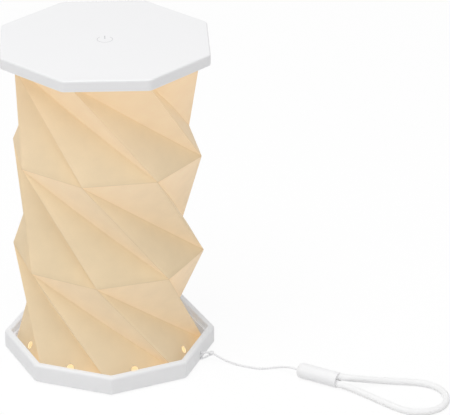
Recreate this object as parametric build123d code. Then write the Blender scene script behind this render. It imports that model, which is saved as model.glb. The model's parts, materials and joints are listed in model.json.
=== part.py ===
from build123d import *
import os
from math import cos, pi, radians, sin, sqrt, tan

os.makedirs("parts", exist_ok=True)

# Folding table lamp, standing on its tray, in millimetres, Z up, with the floor at z = 0.
# Angles are measured from the front (-Y) towards +X, seen from above.

# Creased shade: equal storeys, each an eight-sided ring turned against the one below
SIDES = 8
STOREYS = 3
SHADE_R = 51.4
TOP_FLARE = 1.2
STOREY_H = 58.07
TWIST = 52.5
FOLDED_TWIST = 90.0
SHEET_T = 0.4
FLANGE_W = 6.5
VENT_D = 4.0
VENT_RISE = 5.5

# Tray
FOOT_PROUD = 0.6
FLOOR_T = 1.6
SHOULDER_W = 1.2
SHOULDER_H = 5.1
RIM_T = 3.46
RIM_OUTER_FILLET = 1.6
RIM_INNER_FILLET = 0.7
TRAY_CORNER = 2.5
TRAY_EDGE = 0.7
INNER_CORNER = 1.5

# Head
HEAD_OVERHANG = 1.3
HEAD_H = 6.0
SKIRT_DROP = 2.6
TOP_T = 1.6
HEAD_CORNER = 4.0
HEAD_EDGE = 1.0
RECESS_MARGIN = 1.0

# Seat plates, which clamp the shade's two end flanges
LOWER_PLATE_T = 1.8
UPPER_PLATE_T = 1.6
PLATE_CORNER = 6.0
PLATE_EDGE = 0.3

# Light pod under the head, from its lip up to the ceiling of the head
POD_WALL = 1.3
POD_FLANGE_W = 3.7
POD_FLANGE_T = 0.6
LIP_T = 0.8
LIP_W = 2.2
DIFFUSER_T = 1.2
SPACER_T = 1.4
SPACER_W = 1.6
LED_BOARD_T = 1.0
LED_COUNT = 8
LED_L, LED_W, LED_T = 3.5, 2.8, 0.8
LED_INSET = 6.5
FOAM_T = 0.5
BATTERY_W = 20.0
BATTERY_T = 4.2
BATTERY_HEADROOM = 1.0

# Charging socket and control board at the back of the head
SOCKET_W, SOCKET_T, SOCKET_L = 8.94, 3.16, 7.3
SOCKET_SHELL = 0.3
SOCKET_DEPTH = 6.2
SOCKET_RECESS = 0.4
TONGUE_W, TONGUE_T, TONGUE_L = 6.7, 0.7, 4.6
SOCKET_SKIN = 1.0
BOARD_W = 16.0
BOARD_T = 0.8
BOARD_CORNER = 1.0
BOARD_SETBACK = 1.5
CHIP_T = 0.7
CHIP_SIZES = ((5.0, 4.4), (3.0, 2.8), (4.0, 2.0))
PAD_R = 6.0
PAD_T = 0.2
PAD_TAIL_W = 3.0
WIRE_D = 0.8
WIRE_PITCH = 2.0
WIRE_X = 5.0
WIRE_BEND = 1.0
LEAD_BELOW_TOP = 1.6
LEAD_RUN = 2.6

# Fasteners, magnets and feet
SCREW_D = 2.0
SCREW_HEAD_D = 3.8
SCREW_HEAD_T = 1.0
SCREW_COUNT = 4
LOWER_SCREW_L = 3.3
UPPER_SCREW_L = 3.5
POD_SCREW_COUNT = 3
POD_SCREW_HEAD_D = 3.2
POD_SCREW_HEAD_T = 0.9
POD_SCREW_L = 2.0
BOSS_R = 2.6
BOSS_MARGIN = 0.9
MAGNET_L, MAGNET_T, MAGNET_H = 10.0, 2.0, 3.0
MAGNET_COUNT = 4
MAGNET_SKIN = 1.0
FOOT_D = 10.0
FOOT_T = 1.2
FOOT_COUNT = 4
FOOT_INSET = 14.0

# Hand strap: a thin string hitched through the tray, a sleeve, and a thick cord loop
STRAP_SIDE = 67.5
STRAP_HOLE_D = 2.0
STRAP_HOLE_Z = 4.9
STRAP_SLOT_Z = 1.35
STRING_D = 1.2
KNOT_D = 3.0
EYE_OUT, EYE_SIDE, EYE_BEND = 1.2, 0.3, 1.5
KNOT_OUT, KNOT_SIDE, KNOT_Z = 4.9, 2.9, 4.2
SLEEVE_D = 8.5
SLEEVE_BORE = 7.5
SLEEVE_L = 23.7
SLEEVE_END_T = 1.2
SLEEVE_FILLET = 1.6
LOOP_D = 3.7
CORNER_SHARE = 0.45

# Clearances
SLIP = 0.05
SEAT_GAP = 0.5
PLATE_GAP = 0.9
POD_GAP = 0.42
DROP_GAP = 1.0
FOLD_GAP = 0.3
EDGE_GAP = 0.1

STEP = 360.0 / SIDES
COS_HALF = cos(radians(STEP / 2))
SHADE_APOTHEM = SHADE_R * COS_HALF

# Heights of the tray and the shade, from the floor up
tray_low = FOOT_PROUD
tray_floor = tray_low + FLOOR_T
ring_heights = [tray_floor + STOREY_H * ring for ring in range(STOREYS + 1)]
ring_angles = [-TWIST * ring for ring in range(STOREYS + 1)]
ring_radii = [SHADE_R] * STOREYS + [SHADE_R + TOP_FLARE]
shade_top = ring_heights[-1]
head_turn = ring_angles[-1]
lower_plate_low = tray_floor + SHEET_T
lower_plate_top = lower_plate_low + LOWER_PLATE_T

# Heights of the head, from the shade's top ring
head_low = shade_top - SKIRT_DROP
head_top = head_low + HEAD_H
ceiling = head_top - TOP_T
upper_plate_top = shade_top - SHEET_T
upper_plate_low = upper_plate_top - UPPER_PLATE_T

# The pod's stack, from the ceiling down
battery_top = ceiling - BATTERY_HEADROOM
battery_low = battery_top - BATTERY_T
foam_low = battery_low - FOAM_T
led_board_low = foam_low - LED_BOARD_T
spacer_low = led_board_low - SPACER_T
diffuser_low = spacer_low - DIFFUSER_T
pod_low = diffuser_low - LIP_T

# The fold: the pod comes down on the lower plate, and the rim is as high as that leaves room for
fold_drop = pod_low - lower_plate_top - DROP_GAP
fold_turn = (FOLDED_TWIST - TWIST) * STOREYS
rim_top = head_low - fold_drop - FOLD_GAP

# Flat-to-centre distances
shoulder_in = SHADE_APOTHEM + SEAT_GAP
rim_in = shoulder_in + SHOULDER_W
tray_out = rim_in + RIM_T
head_out = tray_out + HEAD_OVERHANG
shoulder_top = tray_floor + SHOULDER_H
flange_in = SHADE_APOTHEM - FLANGE_W
recess_r = flange_in + RECESS_MARGIN
screw_circle = flange_in - BOSS_R - BOSS_MARGIN
folded_free_r = SHADE_R * cos(radians((FOLDED_TWIST + STEP) / 2))
pod_r = folded_free_r - POD_GAP
pod_bore = pod_r - POD_WALL
pod_flange_r = pod_r + POD_FLANGE_W
magnet_line = tray_out - RIM_T / 2
lean = (SHADE_APOTHEM - SHADE_R * cos(radians(TWIST + STEP / 2))) / STOREY_H


def polar(radius, angle, z=0.0):
    """A point at a distance from the axis, an angle from the front, and a height."""
    turn = radians(angle)
    return (radius * sin(turn), -radius * cos(turn), z)


def side_plane(angle, apothem, z=0.0):
    """A frame on a side: X along the side, Y up, Z straight out."""
    out = polar(1.0, angle)
    return Plane(origin=polar(apothem, angle, z), x_dir=(-out[1], out[0], 0), z_dir=out)


def back_plane(apothem, z=0.0):
    """A frame on the side that faces away from the viewer."""
    return side_plane(STEP * SIDES / 2, apothem, z)


def on_side(angle, out, along, z):
    """A point given by its distance out from the axis, along the side, and its height."""
    normal = polar(1.0, angle)
    return (normal[0] * out - normal[1] * along, normal[1] * out + normal[0] * along, z)


def octagon(apothem, turn, corner, low, high):
    """An upright eight-sided block with rounded corners."""
    points = [polar(apothem / COS_HALF, turn + STEP * k) for k in range(SIDES)]
    outline = make_face(Polyline(*points, close=True))
    return Pos(0, 0, low) * extrude(fillet(outline.vertices(), corner), amount=high - low)


def disc(radius, low, high, at=(0.0, 0.0)):
    """An upright round block."""
    up = (Align.CENTER, Align.CENTER, Align.MIN)
    return Pos(at[0], at[1], low) * Cylinder(radius, high - low, align=up)


def block(width, depth, low, high, at=(0.0, 0.0), turn=0.0):
    """An upright rectangular block, turned about the vertical."""
    up = (Align.CENTER, Align.CENTER, Align.MIN)
    return Pos(at[0], at[1], low) * Rot(0, 0, turn) * Box(width, depth, high - low, align=up)


def around(count, first=0.0):
    """Evenly spaced angles."""
    return [first + 360.0 / count * k for k in range(count)]


def together(solids):
    """Separate solids kept in one file."""
    return Compound(children=[solid for part in solids for solid in part.solids()])


def facet_apothem(rise):
    """How far out a shade facet stands, a given height from the ring that it shares an edge with."""
    return SHADE_APOTHEM - lean * rise


def creased_solid(inset, heights):
    """The closed many-faced block inside rings turned against each other, drawn in by an inset."""
    rings = []
    for radius, angle, height in zip(ring_radii, ring_angles, heights):
        rings.append([Vector(*polar(radius - inset, angle + STEP * k, height)) for k in range(SIDES)])
    faces = [Face(Wire.make_polygon(ring, close=True)) for ring in (rings[0], rings[-1])]
    for lower, upper in zip(rings, rings[1:]):
        for k in range(SIDES):
            after = (k + 1) % SIDES
            for corners in ((upper[k], lower[k], lower[after]), (upper[k], lower[after], upper[after])):
                faces.append(Face(Wire.make_polygon(corners, close=True)))
    return Solid(Shell(faces))


def vent_drill(k):
    """A drill square to a bottom facet, on the line from its foot to its tip."""
    tip = Vector(*polar(SHADE_R, ring_angles[1] + STEP * k, ring_heights[1]))
    left = Vector(*polar(SHADE_R, STEP * k, ring_heights[0]))
    right = Vector(*polar(SHADE_R, STEP * (k + 1), ring_heights[0]))
    middle = (left + right) * 0.5
    centre = middle + (tip - middle) * (VENT_RISE / STOREY_H)
    normal = (right - left).cross(tip - left).normalized()
    return Plane(origin=centre, z_dir=normal) * Cylinder(VENT_D / 2, 6 * SHEET_T)


def shade():
    """One creased sheet: walls, a clamped flange at each end, vents, and a notch for the socket."""
    inner_heights = [ring_heights[0] + SHEET_T, *ring_heights[1:-1], shade_top - SHEET_T]
    sheet = Part() + creased_solid(0.0, ring_heights)
    sheet -= creased_solid(SHEET_T / COS_HALF / cos(radians(STEP)), inner_heights)
    sheet -= disc(flange_in, tray_floor - SHEET_T, tray_floor + 2 * SHEET_T)
    sheet -= disc(flange_in, shade_top - 2 * SHEET_T, shade_top + SHEET_T)
    for k in range(SIDES):
        sheet -= vent_drill(k)
    notch_in = socket_back - 2 * EDGE_GAP
    notch = block(SOCKET_W + 4 * EDGE_GAP, FLANGE_W, socket_low - 2 * EDGE_GAP, head_top)
    return sheet - Pos(0, notch_in + FLANGE_W / 2, 0) * notch


def countersunk_screws(circle, head_at, length):
    """A ring of countersunk screws, put in from below, heads flush at the given height."""
    screws = []
    for angle in around(SCREW_COUNT, STEP):
        x, y, _ = polar(circle, angle)
        taper = (SCREW_HEAD_D - SCREW_D) / 2
        head = Pos(x, y, head_at + SCREW_HEAD_T / 2) * Cone(SCREW_HEAD_D / 2, SCREW_D / 2, SCREW_HEAD_T)
        drive = disc(taper / 2, head_at, head_at + SCREW_HEAD_T / 2, (x, y))
        screws.append(head + disc(SCREW_D / 2, head_at, head_at + length, (x, y)) - drive)
    return together(screws)


def screw_holes(circle, head_at, top):
    """The countersunk clearance holes and pilot holes that the screws go in."""
    holes = Part()
    for angle in around(SCREW_COUNT, STEP):
        x, y, _ = polar(circle, angle)
        cone = Cone(SCREW_HEAD_D / 2 + SLIP, SCREW_D / 2 + SLIP, SCREW_HEAD_T)
        holes += Pos(x, y, head_at + SCREW_HEAD_T / 2) * cone
        holes += disc(SCREW_D / 2 + SLIP, head_at, top, (x, y))
    return holes


def magnet_bars(first, low, slip=0.0, depth=0.0):
    """Bar magnets along every second side, or the pockets that take them."""
    bars = []
    for angle in around(MAGNET_COUNT, first):
        x, y, _ = polar(magnet_line, angle)
        size = (MAGNET_L + 2 * slip, MAGNET_T + 2 * slip)
        bars.append(block(*size, low - depth, low + MAGNET_H, (x, y), angle))
    return bars


def base_tray():
    """The white tray: floor, shoulder round the shade's foot, thick rim, strap holes, foot recesses."""
    tray = octagon(tray_out, 0, TRAY_CORNER, tray_low, rim_top)
    tray = fillet(tray.faces().sort_by(Axis.Z)[-1].edges(), RIM_OUTER_FILLET)
    tray = chamfer(tray.faces().sort_by(Axis.Z)[0].edges(), TRAY_EDGE)
    tray -= octagon(rim_in, 0, INNER_CORNER, shoulder_top, rim_top + 1)
    tray = fillet(tray.faces().sort_by(Axis.Z)[-1].inner_wires()[0].edges(), RIM_INNER_FILLET)
    tray -= octagon(shoulder_in, 0, SEAT_GAP, tray_floor, shoulder_top + 1)
    for angle in around(SCREW_COUNT, STEP):
        tray += disc(BOSS_R, tray_floor - FLOOR_T / 2, lower_plate_low, polar(screw_circle, angle))
    tray -= screw_holes(screw_circle, tray_low, lower_plate_low + 1)
    for foot in foot_centres():
        tray -= disc(FOOT_D / 2 + SLIP, 0, FOOT_T, foot)
    for pocket in magnet_bars(STEP / 2, magnet_low, SLIP, rim_top):
        tray -= pocket
    hole_r = STRAP_HOLE_D / 2
    mouth = side_plane(STRAP_SIDE, strap_line, STRAP_HOLE_Z)
    long_hole = (Align.CENTER, Align.CENTER, Align.MIN)
    tray -= mouth * Cylinder(hole_r, tray_out, align=long_hole)
    tray -= disc(hole_r, 0, STRAP_HOLE_Z, polar(strap_line, STRAP_SIDE))
    tray -= Pos(*polar(strap_line, STRAP_SIDE, STRAP_HOLE_Z)) * Sphere(hole_r)
    slot_top = STRAP_SLOT_Z + hole_r
    slot = side_plane(STRAP_SIDE, strap_line) * Box(STRAP_HOLE_D, 2 * slot_top, RIM_T, align=long_hole)
    return tray - slot


def foot_centres():
    """Where the rubber feet sit, under the tray's corners."""
    return [polar(tray_out / COS_HALF - FOOT_INSET, angle)[:2] for angle in around(FOOT_COUNT)]


def rubber_feet():
    """Round pads stuck in the tray's underside."""
    feet = [disc(FOOT_D / 2, 0, FOOT_T, centre) for centre in foot_centres()]
    return together([chamfer(foot.faces().sort_by(Axis.Z)[0].edges(), FOOT_PROUD / 3) for foot in feet])


def lower_seat_plate():
    """The octagonal plate that clamps the shade's foot flange, with blind pilot holes."""
    apothem = facet_apothem(lower_plate_top - tray_floor) - SHEET_T - PLATE_GAP
    plate = octagon(apothem, 0, PLATE_CORNER, lower_plate_low, lower_plate_top)
    plate = chamfer(plate.faces().sort_by(Axis.Z)[-1].edges(), PLATE_EDGE)
    return plate - screw_holes(screw_circle, tray_low, tray_low + LOWER_SCREW_L + SLIP)


def upper_seat_plate():
    """The plate that clamps the shade's top flange and carries the pod."""
    apothem = facet_apothem(shade_top - upper_plate_low) - SHEET_T - PLATE_GAP
    plate = octagon(apothem, head_turn, PLATE_CORNER, upper_plate_low, upper_plate_top)
    plate = chamfer(plate.faces().sort_by(Axis.Z)[0].edges(), PLATE_EDGE)
    plate -= disc(pod_r + SLIP, upper_plate_low - 1, upper_plate_top + 1)
    plate -= screw_holes(screw_circle, upper_plate_low, upper_plate_top + 1)
    for angle in pod_screw_angles:
        tip = pod_flange_top - POD_SCREW_L - SLIP
        plate -= disc(SCREW_D / 2 + SLIP, tip, upper_plate_top + 1, polar(pod_screw_circle, angle))
    return plate


def stadium(width, height, inset=0.0):
    """A slot outline as wide and high as given, less an inset all round."""
    return SlotOverall(width - 2 * inset, height - 2 * inset)


def socket_bar(inset, out, back):
    """A bar of the socket's section, between two distances from the axis."""
    section = stadium(SOCKET_W, SOCKET_T, inset)
    return back_plane(back, socket_mid) * extrude(section, amount=out - back)


def head_cover():
    """The white head: flat top, skirt, land for the shade, recess for the boards, socket tunnel."""
    cover = octagon(head_out, head_turn, HEAD_CORNER, head_low, head_top)
    cover = fillet(cover.faces().sort_by(Axis.Z)[-1].edges(), HEAD_EDGE)
    cover -= octagon(rim_in, head_turn, INNER_CORNER, head_low - 1, shade_top)
    cover -= disc(recess_r, shade_top - 1, ceiling)
    for angle in around(SCREW_COUNT, STEP):
        cover += disc(BOSS_R, upper_plate_top, ceiling + TOP_T / 2, polar(screw_circle, angle))
    screw_tip = upper_plate_low + UPPER_SCREW_L
    cover -= screw_holes(screw_circle, upper_plate_low, screw_tip + SLIP)
    for pocket in magnet_bars(STEP, head_low, SLIP):
        cover -= pocket
    cover -= socket_bar(-EDGE_GAP / 2, head_out + 1, socket_back - EDGE_GAP)
    slot_depth = socket_back + EDGE_GAP - recess_r / 2
    slot = block(BOARD_W + 4 * EDGE_GAP, slot_depth, shade_top - EDGE_GAP, ceiling)
    return cover - Pos(0, recess_r / 2 + slot_depth / 2, 0) * slot


def usb_socket():
    """The charging socket's drawn steel shell, with its tongue."""
    shell = socket_bar(0.0, socket_front, socket_back)
    shell -= socket_bar(SOCKET_SHELL, socket_front + 1, socket_front - SOCKET_DEPTH)
    outward = (Align.CENTER, Align.CENTER, Align.MIN)
    tongue = Box(TONGUE_W, TONGUE_T, TONGUE_L, align=outward)
    return shell + back_plane(socket_front - SOCKET_DEPTH, socket_mid) * tongue


def board_centre(y_from, y_to):
    """The middle of a stretch of the control board."""
    return (0.0, (y_from + y_to) / 2)


def control_board():
    """The charging and touch board, from the socket's back to the pod's flange."""
    span = socket_back - board_front
    board = block(BOARD_W, span, board_low, board_low + BOARD_T, board_centre(board_front, socket_back))
    return fillet(board.edges().filter_by(Axis.Z), BOARD_CORNER)


def control_chips():
    """The chips under the control board, largest first."""
    chips = []
    pitch = (flange_in - board_front) / (len(CHIP_SIZES) + 1)
    for place, (width, depth) in enumerate(CHIP_SIZES, start=1):
        y = board_front + pitch * place
        chips.append(block(width, depth, board_low - CHIP_T, board_low, (0.0, y)))
    return together(chips)


def touch_pad():
    """The touch foil under the power mark, with its tail to the board."""
    tail_end = board_front + PAD_TAIL_W
    tail = block(PAD_TAIL_W, tail_end, ceiling - PAD_T, ceiling, (0.0, tail_end / 2))
    return disc(PAD_R, ceiling - PAD_T, ceiling) + tail


def pod_housing():
    """The round cup under the head: flange on the plate, wall, and a lip that carries the diffuser."""
    pod = disc(pod_r, pod_low, upper_plate_top) + disc(pod_flange_r, upper_plate_top, pod_flange_top)
    pod = chamfer(pod.faces().sort_by(Axis.Z)[0].edges(), LIP_T / 2)
    pod -= disc(pod_bore, diffuser_low, pod_flange_top + 1)
    pod -= disc(pod_bore - LIP_W, pod_low - 1, diffuser_low + 1)
    for angle in pod_screw_angles:
        hole = polar(pod_screw_circle, angle)
        pod -= disc(SCREW_D / 2 + SLIP, upper_plate_top - 1, pod_flange_top + 1, hole)
    return pod


def pod_screws():
    """The small pan-head screws that hold the pod's flange to the plate."""
    screws = []
    for angle in pod_screw_angles:
        at = polar(pod_screw_circle, angle)
        head = disc(POD_SCREW_HEAD_D / 2, pod_flange_top, pod_flange_top + POD_SCREW_HEAD_T, at)
        screws.append(head + disc(SCREW_D / 2, pod_flange_top - POD_SCREW_L, pod_flange_top, at))
    return together(screws)


def pod_disc(low, thickness):
    """A disc that slips into the pod's bore."""
    return disc(pod_bore - EDGE_GAP, low, low + thickness)


def leds():
    """The light-emitting diodes under their round board, in a ring."""
    ring = pod_bore - LED_INSET
    return together([block(LED_L, LED_W, led_board_low - LED_T, led_board_low, polar(ring, angle), angle)
                     for angle in around(LED_COUNT)])


def battery():
    """The flat pouch cell, as long as the pod's bore allows, with soft corners."""
    cell = block(battery_l, BATTERY_W, battery_low, battery_top)
    return fillet(cell.edges().filter_by(Axis.Z), BATTERY_T / 2)


def corner_radii(points):
    """The largest arc at each corner of a route that its two runs allow."""
    radii = []
    for before, here, after in zip(points, points[1:], points[2:]):
        run_in, run_out = Vector(*here) - Vector(*before), Vector(*after) - Vector(*here)
        turn = run_in.get_angle(run_out)
        radii.append(CORNER_SHARE * min(run_in.length, run_out.length) / tan(radians(turn / 2)))
    return radii


def tube(points, diameter, radii=None, name=""):
    """A round cord along straight runs joined by arcs."""
    radii = corner_radii(points) if radii is None else radii
    path = FilletPolyline(*points, radius=radii)
    cord = sweep(Plane(origin=path @ 0, z_dir=path % 0) * Circle(diameter / 2), path=path)
    if name:
        ratio = cord.volume / (pi * diameter ** 2 / 4 * path.length)
        print(name, "length", round(path.length, 1), "volume ratio", round(ratio, 4),
              "radii", [round(radius, 1) for radius in radii])
    return cord


def leads(x, starts):
    """A pair of insulated leads that end at the control board's front edge."""
    end = (0.0, board_front, board_mid)
    pair = []
    for offset in (-WIRE_PITCH / 2, WIRE_PITCH / 2):
        points = [(x + offset, y, z) for _, y, z in (*starts, end)]
        pair.append(tube(points, WIRE_D, [WIRE_BEND] * (len(points) - 2)))
    return together(pair)


def strap_hitch():
    """The string's eye, in at the tray's side and out under its edge, with the knot that closes it."""
    knot_out, apart = tray_out + KNOT_OUT, STRING_D / 2 + SLIP
    route = [(knot_out, KNOT_SIDE, KNOT_Z + apart), (tray_out + EYE_OUT, EYE_SIDE, STRAP_HOLE_Z),
             (strap_line, 0.0, STRAP_HOLE_Z), (strap_line, 0.0, STRAP_SLOT_Z),
             (tray_out + EYE_OUT, EYE_SIDE, STRAP_SLOT_Z), (knot_out, KNOT_SIDE, KNOT_Z - apart)]
    points = [on_side(STRAP_SIDE, *place) for place in route]
    string = tube(points, STRING_D, [EYE_BEND, STRING_D, STRING_D, EYE_BEND])
    return string + Pos(*on_side(STRAP_SIDE, knot_out, KNOT_SIDE, KNOT_Z)) * Sphere(KNOT_D / 2)


def strap_sleeve():
    """The closed-ended sleeve that holds both ends of the loop cord."""
    sleeve = Cylinder(SLEEVE_D / 2, SLEEVE_L, align=(Align.CENTER, Align.CENTER, Align.MIN))
    sleeve = fillet(sleeve.faces().sort_by(Axis.Z)[0].edges(), SLEEVE_FILLET)
    sleeve -= disc(SLEEVE_BORE / 2, SLEEVE_END_T, SLEEVE_L)
    return Plane(origin=SLEEVE_START, z_dir=SLEEVE_AXIS) * sleeve


# Places that several pieces share
socket_front = head_out - SOCKET_RECESS
socket_back = socket_front - SOCKET_L
socket_mid = head_top - SOCKET_SKIN - SOCKET_T / 2
socket_low = socket_mid - SOCKET_T / 2
board_mid = socket_mid
board_low = board_mid - BOARD_T / 2
board_front = pod_flange_r + BOARD_SETBACK
pod_flange_top = upper_plate_top + POD_FLANGE_T
pod_screw_circle = pod_r + POD_FLANGE_W / 2
pod_screw_angles = around(POD_SCREW_COUNT, 0.0)
magnet_low = rim_top - MAGNET_SKIN - MAGNET_H
strap_line = rim_in + STRAP_HOLE_D / 2 + SEAT_GAP
battery_l = 2 * sqrt((pod_bore - SEAT_GAP) ** 2 - (BATTERY_W / 2) ** 2)

# Strap routes, where the strap lies on the floor
SLEEVE_START = (100.1, -39.8, SLEEVE_D / 2)
SLEEVE_AXIS = (0.848, -0.53, 0.0)
STRING_ROUTE = [
    (54.9, -19.7, 4.0),
    (60.6, -22.8, 1.9),
    (67.4, -26.3, 0.6),
    (74.4, -29.5, 0.6),
    (80.4, -31.7, 0.6),
    (87.0, -31.0, 0.9),
    (92.6, -33.2, 2.5),
    (96.3, -37.4, 4.25),
    (100.1, -39.8, 4.25),
]
LOOP_ROUTE = [
    (113.9, -47.3, 5.87),
    (121.6, -52.1, 5.8),
    (132.0, -51.6, 4.3),
    (143.5, -50.9, 2.6),
    (155.0, -51.2, 1.85),
    (165.0, -53.0, 1.85),
    (172.3, -57.6, 1.85),
    (176.0, -65.5, 1.85),
    (175.6, -74.6, 1.85),
    (170.4, -81.6, 1.85),
    (162.0, -84.4, 1.85),
    (153.2, -82.8, 1.85),
    (144.9, -75.4, 1.85),
    (136.2, -66.5, 1.85),
    (127.6, -58.3, 2.1),
    (119.9, -53.2, 2.63),
    (112.9, -48.9, 2.63),
]

battery_y = BATTERY_W / 2
lead_y = pod_bore - 2 * WIRE_D
lead_z = battery_top - LEAD_BELOW_TOP
BATTERY_LEAD = [(0, battery_y, lead_z), (0, battery_y + LEAD_RUN, lead_z), (0, lead_y, board_mid)]
LED_LEAD = [(0, lead_y, led_board_low + LED_BOARD_T), (0, lead_y, board_mid)]

NODES = {
    "base_tray": base_tray,
    "rubber_feet": rubber_feet,
    "base_magnets": lambda: together(magnet_bars(STEP / 2, magnet_low)),
    "lower_seat_plate": lower_seat_plate,
    "lower_plate_screws": lambda: countersunk_screws(screw_circle, tray_low, LOWER_SCREW_L),
    "shade": shade,
    "head_cover": head_cover,
    "head_magnets": lambda: together(magnet_bars(STEP, head_low)),
    "upper_seat_plate": upper_seat_plate,
    "upper_plate_screws": lambda: countersunk_screws(screw_circle, upper_plate_low, UPPER_SCREW_L),
    "pod_housing": pod_housing,
    "pod_screws": pod_screws,
    "pod_diffuser": lambda: pod_disc(diffuser_low, DIFFUSER_T),
    "spacer_ring": lambda: pod_disc(spacer_low, SPACER_T) - disc(pod_bore - SPACER_W, 0, head_top),
    "led_board": lambda: pod_disc(led_board_low, LED_BOARD_T),
    "leds": leds,
    "battery_foam": lambda: block(battery_l - FOAM_T, BATTERY_W - FOAM_T, foam_low, battery_low),
    "battery_cell": battery,
    "battery_leads": lambda: leads(-WIRE_X, BATTERY_LEAD),
    "led_leads": lambda: leads(WIRE_X, LED_LEAD),
    "control_board": control_board,
    "control_chips": control_chips,
    "usb_socket": usb_socket,
    "touch_pad": touch_pad,
    "strap_hitch": strap_hitch,
    "strap_string": lambda: tube(STRING_ROUTE, STRING_D, name="strap_string"),
    "strap_sleeve": strap_sleeve,
    "strap_loop": lambda: tube(LOOP_ROUTE, LOOP_D, name="strap_loop"),
}

for node, make in NODES.items():
    export_step(make(), f"parts/{node}.step")

print("fold: drop", round(fold_drop, 2), "turn", round(fold_turn, 2), "rim top", round(rim_top, 2),
      "head", round(head_low, 2), "to", round(head_top, 2), "pod low", round(pod_low, 2))
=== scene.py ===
"""Folding table lamp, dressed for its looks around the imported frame.

Lengths are metres and Z is up. The lamp stands on the floor at the origin, and the viewer of the photograph
is at -Y. Angles round the lamp are degrees from the front (-Y) towards +X, seen from above.
"""

from __future__ import annotations

import json
import logging
import math
from dataclasses import dataclass, field
from enum import Enum
from typing import Callable, Iterable, Sequence

import bmesh
import bpy
from mathutils import Matrix, Vector

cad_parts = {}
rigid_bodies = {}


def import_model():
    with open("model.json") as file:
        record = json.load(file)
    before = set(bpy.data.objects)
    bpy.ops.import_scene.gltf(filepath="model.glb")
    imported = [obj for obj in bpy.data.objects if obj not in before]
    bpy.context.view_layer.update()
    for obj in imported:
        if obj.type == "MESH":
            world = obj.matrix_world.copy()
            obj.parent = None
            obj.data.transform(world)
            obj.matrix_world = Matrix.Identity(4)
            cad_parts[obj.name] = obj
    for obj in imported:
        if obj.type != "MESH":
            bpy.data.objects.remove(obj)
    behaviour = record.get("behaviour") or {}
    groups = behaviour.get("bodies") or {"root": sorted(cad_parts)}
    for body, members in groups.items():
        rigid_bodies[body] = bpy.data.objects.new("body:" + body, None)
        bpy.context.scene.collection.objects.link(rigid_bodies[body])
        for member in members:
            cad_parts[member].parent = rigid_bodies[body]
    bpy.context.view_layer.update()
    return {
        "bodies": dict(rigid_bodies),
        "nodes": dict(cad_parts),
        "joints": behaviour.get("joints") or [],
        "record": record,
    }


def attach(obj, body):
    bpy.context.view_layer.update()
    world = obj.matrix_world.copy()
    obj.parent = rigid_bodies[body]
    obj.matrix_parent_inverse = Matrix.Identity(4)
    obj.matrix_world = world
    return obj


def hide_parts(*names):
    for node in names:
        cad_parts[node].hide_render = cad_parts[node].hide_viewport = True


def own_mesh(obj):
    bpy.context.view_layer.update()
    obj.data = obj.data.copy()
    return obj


LOG = logging.getLogger("table_lamp")
MM = 0.001
MERGE = 0.001 * MM
BASE, SHADE, HEAD = "base", "shade", "head"

Color = tuple[float, float, float]
Surface = Callable[[float, float], tuple[float, float]]


def srgb(code: str) -> Color:
    """The linear colour of a six-digit screen colour.

    Args:
        code: Six hexadecimal digits, red first.

    Returns:
        Red, green and blue as light, from 0 to 1.
    """
    values = [int(code[place:place + 2], 16) / 255 for place in (0, 2, 4)]
    return tuple(v / 12.92 if v <= 0.04045 else ((v + 0.055) / 1.055) ** 2.4 for v in values)


def polar(radius: float, angle: float, z: float = 0.0) -> Vector:
    """The point at a distance from the lamp's axis, an angle from the front, and a height."""
    turn = math.radians(angle)
    return Vector((radius * math.sin(turn), -radius * math.cos(turn), z))


# ---------------------------------------------------------------- shader bench


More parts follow.
